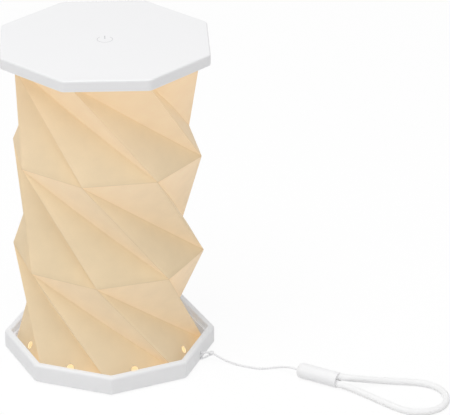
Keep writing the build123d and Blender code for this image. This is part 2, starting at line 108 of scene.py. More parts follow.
class Bench:
    """Adds nodes to one tree, either a material's or a node group's."""

    def __init__(self, tree: bpy.types.NodeTree) -> None:
        """Starts on an empty or existing tree."""
        self.tree = tree

    def node(self, kind: str, **settings: object) -> bpy.types.Node:
        """Adds a node.

        Args:
            kind: Blender's name for the node type.
            settings: Attributes to set on the new node.

        Returns:
            The node.
        """
        made = self.tree.nodes.new(kind)
        for name, value in settings.items():
            setattr(made, name, value)
        return made

    def link(self, source: bpy.types.NodeSocket, target: bpy.types.NodeSocket) -> None:
        """Joins an output to an input."""
        self.tree.links.new(source, target)

    def feed(self, target: bpy.types.NodeSocket, value: object) -> None:
        """Gives an input a link or a plain value.

        Args:
            target: The input.
            value: An output socket, a number or a colour.
        """
        if isinstance(value, bpy.types.NodeSocket):
            self.link(value, target)
        elif isinstance(value, tuple) and target.type == "RGBA":
            target.default_value = (*value, 1.0)
        else:
            target.default_value = value

    def math(self, operation: str, *values: object, clamp: bool = False) -> bpy.types.NodeSocket:
        """Adds a Math node.

        Args:
            operation: Blender's name for the operation.
            values: One to three inputs, each a socket or a number.
            clamp: Whether the result stays from 0 to 1.

        Returns:
            The result.
        """
        made = self.node("ShaderNodeMath", operation=operation, use_clamp=clamp)
        for target, value in zip(made.inputs, values):
            self.feed(target, value)
        return made.outputs[0]

    def mix(self, share: object, first: object, second: object) -> bpy.types.NodeSocket:
        """Adds a colour Mix node.

        Args:
            share: How much of the second colour, from 0 to 1.
            first: The first colour.
            second: The second colour.

        Returns:
            The mixed colour.
        """
        made = self.node("ShaderNodeMix", data_type="RGBA")
        self.feed(made.inputs["Factor"], share)
        self.feed(made.inputs["A"], first)
        self.feed(made.inputs["B"], second)
        return made.outputs["Result"]

    def noise(self, place: bpy.types.NodeSocket, scale: object, detail: float = 2.0) -> bpy.types.NodeSocket:
        """Adds a Noise node.

        Args:
            place: The coordinates it reads.
            scale: Its repeats for each unit of them.
            detail: How many finer layers it has.

        Returns:
            Its value.
        """
        made = self.node("ShaderNodeTexNoise")
        made.inputs["Detail"].default_value = detail
        self.link(place, made.inputs["Vector"])
        self.feed(made.inputs["Scale"], scale)
        return made.outputs["Fac"]

    def object_place(self, stretch: Sequence[float]) -> bpy.types.NodeSocket:
        """Adds Object coordinates.

        Args:
            stretch: The factor along each axis.

        Returns:
            The coordinates.
        """
        source = self.node("ShaderNodeTexCoord").outputs["Object"]
        mapping = self.node("ShaderNodeMapping")
        mapping.inputs["Scale"].default_value = stretch
        self.link(source, mapping.inputs["Vector"])
        return mapping.outputs["Vector"]

    def scaled(self, color: bpy.types.NodeSocket, level: bpy.types.NodeSocket) -> bpy.types.NodeSocket:
        """Makes a colour lighter or darker.

        Args:
            color: The colour.
            level: The factor.

        Returns:
            The new colour.
        """
        made = self.node("ShaderNodeVectorMath", operation="SCALE")
        self.link(color, made.inputs[0])
        self.link(level, made.inputs["Scale"])
        return made.outputs["Vector"]

    def attribute(self, name: str) -> bpy.types.NodeSocket:
        """An attribute of the mesh."""
        return self.node("ShaderNodeAttribute", attribute_name=name).outputs["Fac"]

    def cloth(self) -> bpy.types.NodeSocket:
        """The piece's own UV map."""
        return self.node("ShaderNodeUVMap", uv_map="UVMap").outputs["UV"]

    def backdrop_ray(self) -> bpy.types.NodeSocket:
        """Finds the rays that show what stands behind the lamp, also in metal and through glass.

        Returns:
            1 on those rays, and 0 on the others.
        """
        path = self.node("ShaderNodeLightPath").outputs
        bent = self.math("MAXIMUM", path["Is Glossy Ray"], path["Is Transmission Ray"])
        return self.math("MAXIMUM", path["Is Camera Ray"], bent)

    def bump(self, height: bpy.types.NodeSocket, strength: float, distance: float) -> bpy.types.NodeSocket:
        """Adds a Bump node.

        Args:
            height: The height it reads, from 0 to 1.
            strength: Its share of the full effect.
            distance: What a height of 1 stands for, in metres.

        Returns:
            The bumped normal.
        """
        made = self.node("ShaderNodeBump")
        made.inputs["Strength"].default_value = strength
        made.inputs["Distance"].default_value = distance
        self.link(height, made.inputs["Height"])
        return made.outputs["Normal"]


def plain_material(name: str) -> tuple[bpy.types.Material, Bench, bpy.types.Node]:
    """Starts a material.

    Args:
        name: Its name.

    Returns:
        The material, a bench on its tree, and its shader.
    """
    made = bpy.data.materials.new(name)
    made.use_nodes = True
    return made, Bench(made.node_tree), made.node_tree.nodes["Principled BSDF"]


class Effect:
    """A node group that several finishes use, built once."""

    made: dict[str, bpy.types.NodeTree] = {}

    @staticmethod
    def start(name: str, inputs: Iterable[tuple[str, str, object]],
              outputs: Iterable[tuple[str, str]]) -> Bench:
        """Makes an empty group with named sockets.

        Args:
            name: The group's name.
            inputs: Name, Blender socket type and first value of each input.
            outputs: Name and Blender socket type of each output.

        Returns:
            A bench on the group's tree.
        """
        tree = bpy.data.node_groups.new(name, "ShaderNodeTree")
        for label, kind, value in inputs:
            socket = tree.interface.new_socket(label, in_out="INPUT", socket_type=kind)
            if value is not None:
                socket.default_value = (*value, 1.0) if isinstance(value, tuple) else value
        for label, kind in outputs:
            tree.interface.new_socket(label, in_out="OUTPUT", socket_type=kind)
        Effect.made[name] = tree
        return Bench(tree)

    @staticmethod
    def place(bench: Bench, name: str, **values: object) -> bpy.types.Node:
        """Puts a group in a material.

        Args:
            bench: The material's bench.
            name: The group's name.
            values: Value or socket for each input, with spaces written as underscores.

        Returns:
            The group's node.
        """
        made = bench.node("ShaderNodeGroup", node_tree=Effect.made[name])
        for label, value in values.items():
            bench.feed(made.inputs[label.replace("_", " ")], value)
        return made


def build_effects() -> None:
    """Builds the node groups: moulded grain, tonal drift and crossed thread."""
    number, tint, vector = "NodeSocketFloat", "NodeSocketColor", "NodeSocketVector"
    patch_share = 0.02

    bench = Effect.start(
        "moulded grain",
        [("Place", vector, None), ("Scale", number, 2500.0), ("Roughness", number, 0.4),
         ("Spread", number, 0.06)],
        [("Height", number), ("Roughness", number)])
    start, end = bench.node("NodeGroupInput"), bench.node("NodeGroupOutput")
    fine = bench.noise(start.outputs["Place"], start.outputs["Scale"], 3.0)
    patches = bench.math("MULTIPLY", start.outputs["Scale"], patch_share)
    broad = bench.noise(start.outputs["Place"], patches)
    bench.link(fine, end.inputs["Height"])
    swing = bench.math("MULTIPLY", bench.math("SUBTRACT", broad, 0.5), start.outputs["Spread"])
    bench.link(bench.math("ADD", start.outputs["Roughness"], swing, clamp=True), end.inputs["Roughness"])

    bench = Effect.start(
        "tonal drift",
        [("Place", vector, None), ("Color", tint, (0.8, 0.8, 0.8)), ("Scale", number, 60.0),
         ("Amount", number, 0.04)],
        [("Color", tint)])
    start, end = bench.node("NodeGroupInput"), bench.node("NodeGroupOutput")
    cloud = bench.noise(start.outputs["Place"], start.outputs["Scale"], 4.0)
    swing = bench.math("MULTIPLY", bench.math("SUBTRACT", cloud, 0.5), start.outputs["Amount"])
    level = bench.math("ADD", 1.0, swing)
    bench.link(bench.scaled(start.outputs["Color"], level), end.inputs["Color"])

    bench = Effect.start(
        "crossed thread",
        [("Place", vector, None), ("Across", number, 8.0), ("Along", number, 8.0)],
        [("Height", number)])
    start, end = bench.node("NodeGroupInput"), bench.node("NodeGroupOutput")
    split = bench.node("ShaderNodeSeparateXYZ")
    bench.link(start.outputs["Place"], split.inputs[0])
    waves = []
    for axis, count in (("X", "Across"), ("Y", "Along")):
        turns = bench.math("MULTIPLY", split.outputs[axis], start.outputs[count])
        waves.append(bench.math("SINE", bench.math("MULTIPLY", turns, 2 * math.pi)))
    product = bench.math("MULTIPLY", waves[0], waves[1])
    bench.link(bench.math("MULTIPLY_ADD", product, 0.5, 0.5), end.inputs["Height"])


# ---------------------------------------------------------------- finishes


class Pattern(Enum):
    """How a finish's surface is broken up."""

    MOULDED = "moulded"
    BRUSHED = "brushed"
    PLATED = "plated"
    FOIL = "foil"
    LAMINATE = "laminate"
    SPONGE = "sponge"


@dataclass(frozen=True)
class Finish:
    """One finish of a hard or plain piece.

    The colour and light are written as six-digit screen colours, and the grain's scale is in repeats a metre.
    The spread is how far the roughness swings, and the draw is how much shorter a brushed grain is along Y.
    A cell's size is in grains.
    """

    name: str
    color: str
    pattern: Pattern = Pattern.MOULDED
    roughness: float = 0.42
    metallic: float = 0.0
    grain: float = 2500.0
    depth: float = 0.05
    drift: float = 0.03
    light: str = ""
    strength: float = 0.0
    plain_spread: float = 0.06
    metal_spread: float = 0.1
    brushed_draw: float = 0.04
    sponge_cell: float = 2.0
    sheet_cell: float = 4.0
    grain_share: float = 0.4
    relief_step: float = 0.1 * MM

    def material(self) -> bpy.types.Material:
        """Builds the finish once.

        Returns:
            The material, the same one each time.
        """
        known = bpy.data.materials.get(self.name)
        if known:
            return known
        made, bench, shader = plain_material(self.name)
        place = bench.object_place(self.stretch())
        tone = Effect.place(bench, "tonal drift", Place=place, Color=srgb(self.color), Amount=self.drift)
        grain = Effect.place(bench, "moulded grain", Place=place, Scale=self.grain, Roughness=self.roughness,
                             Spread=self.metal_spread if self.metallic else self.plain_spread)
        bench.link(tone.outputs["Color"], shader.inputs["Base Color"])
        bench.link(grain.outputs["Roughness"], shader.inputs["Roughness"])
        height = self.relief(bench, grain.outputs["Height"], place)
        bench.link(bench.bump(height, self.depth, self.relief_step), shader.inputs["Normal"])
        shader.inputs["Metallic"].default_value = self.metallic
        if self.strength:
            shader.inputs["Emission Color"].default_value = (*srgb(self.light), 1.0)
            shader.inputs["Emission Strength"].default_value = self.strength
        return made

    def stretch(self) -> tuple[float, float, float]:
        """How the grain is drawn out along each axis."""
        return (1.0, self.brushed_draw if self.pattern is Pattern.BRUSHED else 1.0, 1.0)

    def relief(self, bench: Bench, grain: bpy.types.NodeSocket,
               place: bpy.types.NodeSocket) -> bpy.types.NodeSocket:
        """The height that the bump reads.

        Args:
            bench: The material's bench.
            grain: The fine grain.
            place: The stretched Object coordinates.

        Returns:
            The height.
        """
        if self.pattern in (Pattern.MOULDED, Pattern.BRUSHED, Pattern.PLATED):
            return grain
        size = self.sponge_cell if self.pattern is Pattern.SPONGE else self.sheet_cell
        cells = bench.node("ShaderNodeTexVoronoi")
        cells.inputs["Scale"].default_value = self.grain / size
        bench.link(place, cells.inputs["Vector"])
        return bench.math("ADD", cells.outputs["Distance"], bench.math("MULTIPLY", grain, self.grain_share))


WHITE_CASE = Finish("white_case_plastic", "F1F1F2", roughness=0.4, depth=0.04, drift=0.012)
PLATE_CASE = Finish("plate_plastic", "E6E4DE", roughness=0.55, depth=0.08)
POD_GLOW = Finish("frosted_diffuser", "F6F0E2", roughness=0.6, light="FFE6BE", strength=6.0)
GREY_RUBBER = Finish("grey_rubber", "75757A", roughness=0.8, grain=4000.0, depth=0.2)
MAGNET = Finish("plated_magnet", "C4C4C8", Pattern.PLATED, roughness=0.22, metallic=1.0)
SCREW = Finish("screw_steel", "B4B4B9", Pattern.PLATED, roughness=0.32, metallic=1.0)
SOCKET = Finish("socket_shell_steel", "C9C9CC", Pattern.BRUSHED, roughness=0.3, metallic=1.0, grain=1600.0)
LAMINATE = Finish("board_laminate", "E9EEE6", Pattern.LAMINATE, roughness=0.35, grain=1800.0)
CHIP = Finish("chip_moulding", "1C1C1E", roughness=0.6, grain=3500.0, depth=0.15)
LED = Finish("led_phosphor", "F4D86A", roughness=0.3, light="FFE2AE", strength=8.0)
FOAM = Finish("battery_foam", "3A3A3C", Pattern.SPONGE, roughness=0.95, grain=2400.0, depth=0.6)
POUCH = Finish("cell_pouch_foil", "C2C4C8", Pattern.FOIL, roughness=0.34, metallic=0.9, grain=500.0,
               depth=0.2)
RED_LEAD = Finish("red_lead_sleeve", "B3201A", roughness=0.45)
BLACK_LEAD = Finish("black_lead_sleeve", "1D1D1F", roughness=0.45)
COPPER = Finish("touch_foil_copper", "C98A5C", Pattern.FOIL, roughness=0.3, metallic=1.0, grain=700.0)
MARK_INK = Finish("power_mark_ink", "CFCFD1", roughness=0.5, drift=0.02)
BAR_INK = Finish("power_bar_ink", "B9B9BC", roughness=0.5, drift=0.02)

SLOT_FINISHES = {
    "white_plastic": WHITE_CASE,
    "plate_plastic": PLATE_CASE,
    "diffuser_plastic": POD_GLOW,
    "grey_rubber": GREY_RUBBER,
    "magnet_metal": MAGNET,
    "screw_steel": SCREW,
    "socket_steel": SOCKET,
    "board_laminate": LAMINATE,
    "chip_black": CHIP,
    "led_package": LED,
    "battery_foam": FOAM,
    "battery_pouch": POUCH,
    "wire_red": RED_LEAD,
    "wire_black": BLACK_LEAD,
    "copper_foil": COPPER,
}


@dataclass(frozen=True)
class ShadeFinish:
    """The creased sheet seen from outside, with the lamp's light coming through it painted as a glow.

    The piece's attributes say how much light comes through at each point, how warm it is, and where the
    creases are. Scales are in repeats a metre of cloth, and the shares are how far fibres and clouds take the
    light.
    """

    name: str = "glowing_sheet"
    color: str = "D9C8A7"
    crease: str = "B9A789"
    dim: str = "6E512D"
    bright: str = "E6C3A5"
    warm: str = "E0A048"
    strength: float = 0.44
    held_back: float = 0.9
    roughness: float = 0.6
    specular: float = 0.3
    fibre_scale: float = 900.0
    cloud_scale: float = 110.0
    thread_scale: float = 1400.0
    fibre_share: float = 0.16
    cloud_share: float = 0.12
    drift: float = 0.1
    crease_tint: float = 0.28
    crease_shadow: float = 0.08
    relief: float = 0.25
    relief_step: float = 0.1 * MM
    fibre_relief: float = 0.6

    def material(self) -> bpy.types.Material:
        """Builds the sheet's material.

        Returns:
            The material.
        """
        made, bench, shader = plain_material(self.name)
        cloth, crease = bench.cloth(), bench.attribute("crease")
        fibre = bench.noise(cloth, self.fibre_scale, 6.0)
        cloud = bench.noise(cloth, self.cloud_scale, 3.0)
        thread = Effect.place(bench, "crossed thread", Place=cloth, Across=self.thread_scale,
                              Along=self.thread_scale)
        tint = Effect.place(bench, "tonal drift", Place=cloth, Color=srgb(self.color),
                            Scale=self.cloud_scale, Amount=self.drift)
        lined = bench.mix(bench.math("MULTIPLY", crease, self.crease_tint),
                          tint.outputs["Color"], srgb(self.crease))
        bench.link(self.paler_bounce(bench, lined), shader.inputs["Base Color"])
        light = bench.mix(bench.attribute("glow"), srgb(self.dim), srgb(self.bright))
        light = bench.mix(bench.attribute("warmth"), light, srgb(self.warm))
        level = bench.math("MULTIPLY", self.around_one(bench, fibre, self.fibre_share),
                           self.around_one(bench, cloud, self.cloud_share))
        level = bench.math("MULTIPLY", level, bench.math("MULTIPLY_ADD", crease, -self.crease_shadow, 1.0))
        # Painted light: the glow stands for the pod's light coming through the sheet.
        bench.link(self.paler_bounce(bench, bench.scaled(light, level)), shader.inputs["Emission Color"])
        shader.inputs["Emission Strength"].default_value = self.strength
        shader.inputs["Roughness"].default_value = self.roughness
        shader.inputs["Specular IOR Level"].default_value = self.specular
        height = bench.math("ADD", bench.math("MULTIPLY", fibre, self.fibre_relief),
                            bench.math("MULTIPLY", thread.outputs["Height"], 1.0 - self.fibre_relief))
        bench.link(bench.bump(height, self.relief, self.relief_step), shader.inputs["Normal"])
        return made

    @staticmethod
    def around_one(bench: Bench, noise: bpy.types.NodeSocket, share: float) -> bpy.types.NodeSocket:
        """A factor that swings evenly about 1 with a noise."""
        return bench.math("MULTIPLY_ADD", noise, share, 1.0 - share / 2)

    def paler_bounce(self, bench: Bench, color: bpy.types.NodeSocket) -> bpy.types.NodeSocket:
        """Keeps a colour for the eye, and takes most of its warmth out of the light it throws on pieces.

        Args:
            bench: The material's bench.
            color: The sheet's colour or glow.

        Returns:
            The colour, paler on rays that gather light from around.
        """
        bounced = bench.node("ShaderNodeLightPath").outputs["Is Diffuse Ray"]
        made = bench.node("ShaderNodeHueSaturation")
        bench.link(color, made.inputs["Color"])
        bench.link(bench.math("MULTIPLY_ADD", bounced, -self.held_back, 1.0), made.inputs["Saturation"])
        return made.outputs["Color"]


@dataclass(frozen=True)
class LiningFinish:
    """The sheet's inner face, with the pod's light on it painted as a glow."""

    name: str = "painted_glow_lining"
    color: str = "F8F0E2"
    light: str = "FFE2B4"
    strength: float = 0.35
    roughness: float = 0.7
    cloud_scale: float = 300.0
    drift: float = 0.1

    def material(self) -> bpy.types.Material:
        """Builds the lining's material.

        Returns:
            The material.
        """
        made, bench, shader = plain_material(self.name)
        tint = Effect.place(bench, "tonal drift", Place=bench.cloth(), Color=srgb(self.color),
                            Scale=self.cloud_scale, Amount=self.drift)
        bench.link(tint.outputs["Color"], shader.inputs["Base Color"])
        shader.inputs["Roughness"].default_value = self.roughness
        # Painted light: the glow stands for the pod's light on the inner face.
        shader.inputs["Emission Color"].default_value = (*srgb(self.light), 1.0)
        shader.inputs["Emission Strength"].default_value = self.strength
        return made


@dataclass(frozen=True)
class CordFinish:
    """Thread seen close: fine fibres over the twist or plait of the mesh, with painted shade in its grooves.
    """

    name: str
    color: str
    groove_shade: str
    across: float
    along: float
    roughness: float = 0.75
    sheen: float = 0.25
    cloud_scale: float = 30.0
    drift: float = 0.05
    relief: float = 0.3
    relief_step: float = 0.05 * MM

    def material(self) -> bpy.types.Material:
        """Builds the thread's material.

        Returns:
            The material.
        """
        made, bench, shader = plain_material(self.name)
        cloth = bench.cloth()
        tint = Effect.place(bench, "tonal drift", Place=cloth, Color=srgb(self.color),
                            Scale=self.cloud_scale, Amount=self.drift)
        # Painted shade: the grooves between plies and strands take the darker colour.
        shaded = bench.mix(bench.attribute("groove_shade"), tint.outputs["Color"], srgb(self.groove_shade))
        bench.link(shaded, shader.inputs["Base Color"])
        fibres = Effect.place(bench, "crossed thread", Place=cloth, Across=self.across, Along=self.along)
        normal = bench.bump(fibres.outputs["Height"], self.relief, self.relief_step)
        bench.link(normal, shader.inputs["Normal"])
        shader.inputs["Roughness"].default_value = self.roughness
        shader.inputs["Sheen Weight"].default_value = self.sheen
        return made


# The third colour of each cord is painted shade for its grooves.
STRING_THREAD = CordFinish("string_thread", "FAFAFB", "E8E8EA", 24.0, 40.0)
LOOP_THREAD = CordFinish("loop_cord_thread", "FEFEFE", "F0F0F2", 48.0, 30.0)
SLEEVE_SKIN = Finish("strap_sleeve_skin", "F7F7F8", roughness=0.55, grain=1800.0, depth=0.12, drift=0.02)


# ---------------------------------------------------------------- mesh helpers


def piece(name: str, mesh: bmesh.types.BMesh, *materials: bpy.types.Material,
          smooth: bool = True) -> bpy.types.Object:
    """Turns a bmesh into a piece of the lamp.

    Args:
        name: The piece's name.
        mesh: Its shape, which is freed here.
        materials: Its materials, in the order that its faces number them.
        smooth: Whether it is shaded smooth.

    Returns:
        The object, at the origin.
    """
    data = bpy.data.meshes.new(name)
    mesh.to_mesh(data)
    mesh.free()
    for material in materials:
        data.materials.append(material)
    data.polygons.foreach_set("use_smooth", [smooth] * len(data.polygons))
    made = bpy.data.objects.new(name, data)
    bpy.context.scene.collection.objects.link(made)
    return made


def settled(source: bpy.types.Object) -> None:
    """Applies an object's modifiers to its mesh.

    Args:
        source: The object, which loses its modifiers.
    """
    graph = bpy.context.evaluated_depsgraph_get()
    data = bpy.data.meshes.new_from_object(source.evaluated_get(graph), depsgraph=graph)
    source.modifiers.clear()
    source.data = data


def remove(*objects: bpy.types.Object) -> None:
    """Takes objects out of the scene for good."""
    for scrap in objects:
        bpy.data.objects.remove(scrap, do_unlink=True)


def cord_line(name: str, route: Sequence[Sequence[float]]) -> list[Vector]:
    """The smooth line of a cord: a NURBS spline with its route's points as control points.

    Args:
        name: The name of the scratch curve.
        route: The control points, in metres.

    Returns:
        Points along the line, close together.
    """
    curve = bpy.data.curves.new(name, "CURVE")
    curve.dimensions = "3D"
    curve.resolution_u = 24
    spline = curve.splines.new("NURBS")
    spline.points.add(len(route) - 1)
    for point, place in zip(spline.points, route):
        point.co = (*place, 1.0)
    spline.order_u = 3
    spline.use_endpoint_u = True
    carrier = bpy.data.objects.new(name, curve)
    bpy.context.scene.collection.objects.link(carrier)
    graph = bpy.context.evaluated_depsgraph_get()
    data = bpy.data.meshes.new_from_object(carrier.evaluated_get(graph))
    line = [vertex.co.copy() for vertex in data.vertices]
    remove(carrier)
    bpy.data.meshes.remove(data)
    return line


def spaced(line: Sequence[Vector], step: float) -> list[Vector]:
    """Points at even distances along a line, its two ends included.

    Args:
        line: The line's own points.
        step: About how far apart the new ones are, in metres.

    Returns:
        The new points.
    """
    reach = [0.0]
    for before, after in zip(line, line[1:]):
        reach.append(reach[-1] + (after - before).length)
    count = max(2, round(reach[-1] / step))
    out, here = [], 0
    for place in range(count + 1):
        want = reach[-1] * place / count
        while here < len(line) - 2 and reach[here + 1] < want:
            here += 1
        run = reach[here + 1] - reach[here]
        share = 0.0 if run == 0 else min(1.0, (want - reach[here]) / run)
        out.append(line[here].lerp(line[here + 1], share))
    return out


def tube_mesh(line: Sequence[Vector], sides: int, surface: Surface) -> bmesh.types.BMesh:
    """A closed tube along a line, made by extruding a circle from one station to the next.

    Args:
        line: The stations, evenly spaced.
        sides: How many sides the tube has.
        surface: Gives the radius and the painted shade mask for a share of a turn and a distance
                along, in metres.

    Returns:
        The tube, with a UV map of share of a turn and centimetres along, and an attribute of painted
            groove shade.
    """
    mesh = bmesh.new()
    # This mask says where shade is painted into the grooves.
    groove_shade = mesh.verts.layers.float.new("groove_shade")
    turn_layer = mesh.verts.layers.float.new("turn")
    far_layer = mesh.verts.layers.float.new("far")
    uv = mesh.loops.layers.uv.new("UVMap")
    step = (line[1] - line[0]).length
    ring = bmesh.ops.create_circle(mesh, segments=sides, radius=1.0)["verts"]
    edges = list(mesh.edges)
    forward = (line[1] - line[0]).normalized()
    side = forward.orthogonal().normalized()
    for station, centre in enumerate(line):
        after = line[min(station + 1, len(line) - 1)] - line[max(station - 1, 0)]
        bend = forward.rotation_difference(after.normalized())
        forward, side = after.normalized(), (bend @ side).normalized()
        across = forward.cross(side)
        if station:
            new = bmesh.ops.extrude_edge_only(mesh, edges=edges)["geom"]
            edges = [item for item in new if isinstance(item, bmesh.types.BMEdge)]
            fresh = {item for item in new if isinstance(item, bmesh.types.BMVert)}
            ring = [next(edge.other_vert(vert) for edge in vert.link_edges if edge.other_vert(vert) in fresh)
                    for vert in ring]
        for place, vert in enumerate(ring):
            share = place / sides
            size, mask = surface(share, station * step)
            turn = 2 * math.pi * share
            vert.co = centre + (side * math.cos(turn) + across * math.sin(turn)) * size
            vert[groove_shade], vert[turn_layer], vert[far_layer] = mask, share, station * step * 100
        if station in (0, len(line) - 1):
            bmesh.ops.contextual_create(mesh, geom=ring)
    for face in mesh.faces:
        shares = [loop.vert[turn_layer] for loop in face.loops]
        wraps = max(shares) - min(shares) > 0.5
        for loop, share in zip(face.loops, shares):
            loop[uv].uv = (share + (1.0 if wraps and share < 0.5 else 0.0), loop.vert[far_layer])
    bmesh.ops.recalc_face_normals(mesh, faces=mesh.faces)
    return mesh


def twisted(thread: float, plies: int, pitch: float, groove: float) -> Surface:
    """The surface of a string laid up from a few plies.

    Args:
        thread: The string's radius in metres.
        plies: How many plies show round it.
        pitch: The length of one turn, in metres.
        groove: How deep the grooves are, as a share of the radius.

    Returns:
        The surface, for tube_mesh.
    """
    def rule(share: float, far: float) -> tuple[float, float]:
        """One point's radius and mask of painted groove shade."""
        swell = abs(math.cos(math.pi * (plies * share + plies * far / pitch)))
        # Painted shade, deepest between the plies.
        return thread * (1.0 - groove * (1.0 - swell)), (1.0 - swell) ** 2
    return rule


def plaited(cord: float, carriers: int, pitch: float, groove: float) -> Surface:
    """The surface of a tubular plait, whose strands go over and under in turn.

    Args:
        cord: The cord's radius in metres.
        carriers: How many strands run each way.
        pitch: The length of one turn of a strand, in metres.
        groove: How deep the gaps are, as a share of the radius.

    Returns:
        The surface, for tube_mesh.
    """
    def rule(share: float, far: float) -> tuple[float, float]:
        """One point's radius and mask of painted shade in the gaps between strands.

        Args:
            share: Its share of a turn.
            far: Its distance along, in metres.

        Returns:
            The radius in metres and the painted shade mask from 0 to 1.
        """
        left = carriers * (share + far / pitch)
        right = carriers * (share - far / pitch)
        over = left if (math.floor(left) + math.floor(right)) % 2 else right
        swell = math.sin(math.pi * (over % 1.0)) ** 0.5
        # Painted shade, deepest in the gaps between strands.
        return cord * (1.0 - groove * (1.0 - swell)), (1.0 - swell) ** 1.5
    return rule


# ---------------------------------------------------------------- camera and studio


@dataclass
class Viewpoint:
    """The camera at the photograph's place. Angles are degrees, lengths are metres, focal is in pixels."""

    distance: float = 1.5647
    azimuth: float = -2.82
    elevation: float = 25.81
    roll: float = 0.14
    focal: float = 2937.9
    frame_width: float = 450.0
    sensor: float = 36.0
    aim: tuple[float, float, float] = (0.0, 0.0, 0.080)
    aside: float = 0.06242
    above: float = 0.00294
    nearest: float = 0.05
    farthest: float = 50.0

    def build(self) -> None:
        """Places the scene's camera."""
        turn, tilt, lean = (math.radians(v) for v in (self.azimuth, self.elevation, self.roll))
        back = Vector((math.sin(turn) * math.cos(tilt), -math.cos(turn) * math.cos(tilt), math.sin(tilt)))
        right = Vector((math.cos(turn), math.sin(turn), 0.0))
        up = back.cross(right)
        target = Vector(self.aim) + right * self.aside + up * self.above
        right, up = (right * math.cos(lean) + up * math.sin(lean),
                     up * math.cos(lean) - right * math.sin(lean))
        lens = bpy.data.cameras.new("photo_camera")
        lens.sensor_width = self.sensor
        lens.lens = self.focal / self.frame_width * self.sensor
        lens.clip_start, lens.clip_end = self.nearest, self.farthest
        camera = bpy.data.objects.new("photo_camera", lens)
        turned = Matrix((right, up, back)).transposed().to_4x4()
        camera.matrix_world = Matrix.Translation(target + back * self.distance) @ turned
        bpy.context.scene.collection.objects.link(camera)
        bpy.context.scene.camera = camera


@dataclass
class Studio:
    """A white floor, a white world and soft lamps, each with its name, place, size and power."""

    floor_size: float = 8.0
    floor_drop: float = 0.0001
    floor_color: str = "EAEAEA"
    floor_roughness: float = 0.9
    shadow_share: float = 0.12
    backdrop_white: float = 1.03
    world_light: float = 0.56
    lamps: tuple[tuple[str, tuple[float, float, float], float, float], ...] = (
        ("top_softbox", (-0.25, -0.45, 1.5), 1.1, 11.0),
        ("left_softbox", (-1.3, -1.0, 0.7), 0.8, 0.9),
        ("right_softbox", (1.4, -0.9, 0.5), 0.8, 1.0),
    )
    aim: tuple[float, float, float] = (0.0, 0.0, 0.08)

    def build(self) -> None:
        """Makes the world, the floor and the lamps."""
        self.world()
        self.floor()
        for each in self.lamps:
            self.lamp(*each)

    def world(self) -> None:
        """An even world that the camera, metal and glass see as white."""
        world = bpy.data.worlds.new("studio_white")
        bpy.context.scene.world = world
        world.use_nodes = True
        bench = Bench(world.node_tree)
        level = bench.math("MULTIPLY_ADD", bench.backdrop_ray(), 1.0 - self.world_light, self.world_light)
        shader = world.node_tree.nodes["Background"]
        shader.inputs["Color"].default_value = (1.0, 1.0, 1.0, 1.0)
        bench.link(level, shader.inputs["Strength"])

    def floor(self) -> None:
        """A white floor that keeps a faint shadow, and isn't there from below."""
        mesh = bmesh.new()
        bmesh.ops.create_grid(mesh, x_segments=1, y_segments=1, size=self.floor_size / 2,
                              matrix=Matrix.Translation((0.0, 0.0, -self.floor_drop)))
        made, bench, shader = plain_material("studio_floor")
        shader.inputs["Base Color"].default_value = (*srgb(self.floor_color), 1.0)
        shader.inputs["Roughness"].default_value = self.floor_roughness
        shader.inputs["Specular IOR Level"].default_value = 0.0
        white = bench.node("ShaderNodeEmission")
        white.inputs["Strength"].default_value = self.backdrop_white
        under = bench.node("ShaderNodeNewGeometry").outputs["Backfacing"]
        clear = bench.node("ShaderNodeBsdfTransparent")
        share = bench.math("MULTIPLY", bench.backdrop_ray(), 1.0 - self.shadow_share)
        lit, whole = (bench.node("ShaderNodeMixShader") for _ in range(2))
        for mixer, sources in ((lit, (share, shader.outputs[0], white.outputs[0])),
                               (whole, (under, lit.outputs[0], clear.outputs[0]))):
            for place, source in enumerate(sources):
                bench.link(source, mixer.inputs[place])
        bench.link(whole.outputs[0], made.node_tree.nodes["Material Output"].inputs["Surface"])
        piece("studio_floor", mesh, made, smooth=False)

    def lamp(self, name: str, place: tuple[float, float, float], size: float, power: float) -> None:
        """Adds one square soft lamp, turned to the middle of the table lamp.

        Args:
            name: Its name.
            place: Where it is.
            size: The length of its side.
            power: Its power in watts.
        """
        light = bpy.data.lights.new(name, "AREA")
        light.size, light.energy = size, power
        made = bpy.data.objects.new(name, light)
        made.location = place
        made.rotation_euler = (Vector(self.aim) - Vector(place)).to_track_quat("-Z", "Y").to_euler()
        bpy.context.scene.collection.objects.link(made)


# ---------------------------------------------------------------- hand strap


